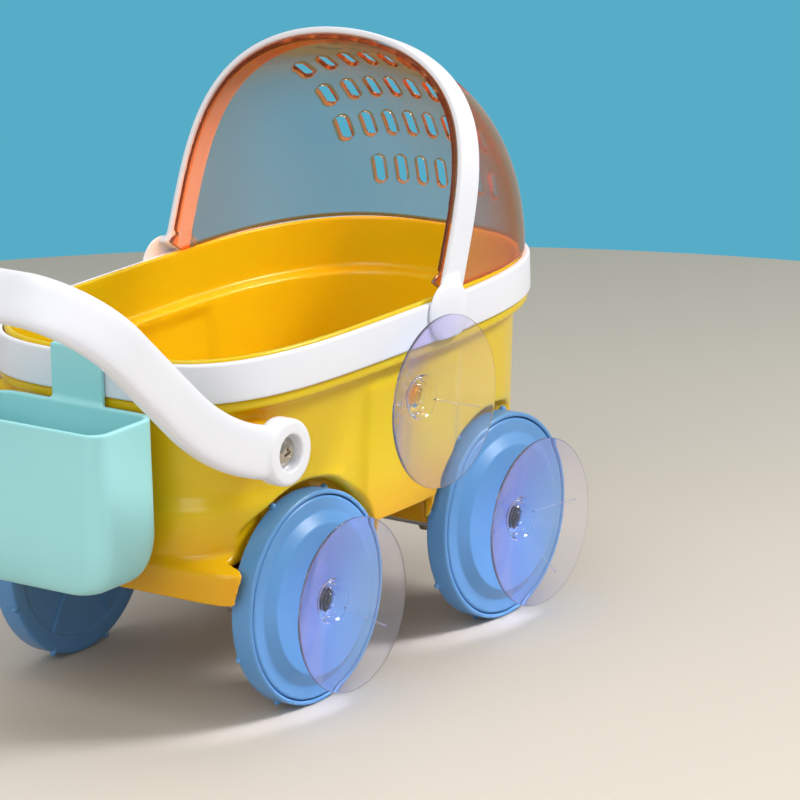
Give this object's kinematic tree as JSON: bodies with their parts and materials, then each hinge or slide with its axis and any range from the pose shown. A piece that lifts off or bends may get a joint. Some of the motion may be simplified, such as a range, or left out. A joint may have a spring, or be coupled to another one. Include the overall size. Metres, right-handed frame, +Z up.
{
  "type": "doll stroller",
  "caption": "Doll stroller with a yellow tub, white rim band and push handle, see-through orange vented hood, blue wheels and clear suction cups on one side.",
  "frame": {"origin": "middle of the bounding box at floor height, between the wheels and the handle", "axes": "+X towards the hood end, +Y away from the suction cups, +Z up; the wheels stand on Z = 0"},
  "size_m": [0.2406, 0.1136, 0.174],
  "materials": {
    "yellow_plastic": "smooth satin-gloss moulding",
    "white_plastic": "smooth satin moulding, very slightly cool",
    "orange_clear_plastic": "glossy tinted see-through moulding",
    "blue_plastic": "satin moulding",
    "mint_plastic": "satin moulding",
    "clear_soft_plastic": "clear soft plastic with a violet-blue edge",
    "bright_steel": "bright nickel-plated",
    "grey_plastic": "plain moulding, hidden"
  },
  "bodies": {
    "tub": {"tub_shell": "yellow_plastic", "chassis_tray": "yellow_plastic", "rim_band": "white_plastic", "caddy": "mint_plastic", "suction_cup_side": "clear_soft_plastic", "axle_handle_end": "bright_steel", "axle_hood_end": "bright_steel", "axle_clip_near_handle": "bright_steel", "axle_clip_near_hood": "bright_steel", "axle_clip_far_handle": "bright_steel", "axle_clip_far_hood": "bright_steel", "handle_screw_near": "bright_steel", "handle_screw_far": "bright_steel", "bracket_screw_handle_near": "bright_steel", "bracket_screw_handle_far": "bright_steel", "bracket_screw_hood_near": "bright_steel", "bracket_screw_hood_far": "bright_steel", "axle_bracket_handle_end": "grey_plastic", "axle_bracket_hood_end": "grey_plastic", "hood_pin_near": "grey_plastic", "hood_pin_far": "grey_plastic", "handle_bush_near": "grey_plastic", "handle_bush_far": "grey_plastic"},
    "hood": {"hood_shell": "orange_clear_plastic", "hood_arch": "white_plastic"},
    "handle": {"push_handle": "white_plastic"},
    "wheel_near_handle": {"wheel_tread_near_handle": "blue_plastic", "wheel_face_near_handle": "blue_plastic", "suction_cup_handle_wheel": "clear_soft_plastic"},
    "wheel_near_hood": {"wheel_tread_near_hood": "blue_plastic", "wheel_face_near_hood": "blue_plastic", "suction_cup_hood_wheel": "clear_soft_plastic"},
    "wheel_far_handle": {"wheel_tread_far_handle": "blue_plastic", "wheel_face_far_handle": "blue_plastic", "hub_plug_far_handle": "blue_plastic"},
    "wheel_far_hood": {"wheel_tread_far_hood": "blue_plastic", "wheel_face_far_hood": "blue_plastic", "hub_plug_far_hood": "blue_plastic"}
  },
  "joints": [
    {"name": "hood_pivot", "type": "hinge", "parent": "tub", "child": "hood", "pos_m": [0.04814, 0.0022, 0.1013], "axis": [0, -1, 0], "range_deg": [0, 35]},
    {"name": "handle_pivot", "type": "hinge", "parent": "tub", "child": "handle", "pos_m": [-0.0326, 0.0022, 0.0794], "axis": [0, 1, 0], "range_deg": [-75, 45]},
    {"name": "wheel_near_handle", "type": "hinge", "parent": "tub", "child": "wheel_near_handle", "pos_m": [-0.012, 0.0022, 0.03075], "axis": [0, 1, 0], "continuous": true},
    {"name": "wheel_near_hood", "type": "hinge", "parent": "tub", "child": "wheel_near_hood", "pos_m": [0.08, 0.0022, 0.03075], "axis": [0, 1, 0], "continuous": true},
    {"name": "wheel_far_handle", "type": "hinge", "parent": "tub", "child": "wheel_far_handle", "pos_m": [-0.012, 0.0022, 0.03075], "axis": [0, 1, 0], "continuous": true},
    {"name": "wheel_far_hood", "type": "hinge", "parent": "tub", "child": "wheel_far_hood", "pos_m": [0.08, 0.0022, 0.03075], "axis": [0, 1, 0], "continuous": true}
  ]
}
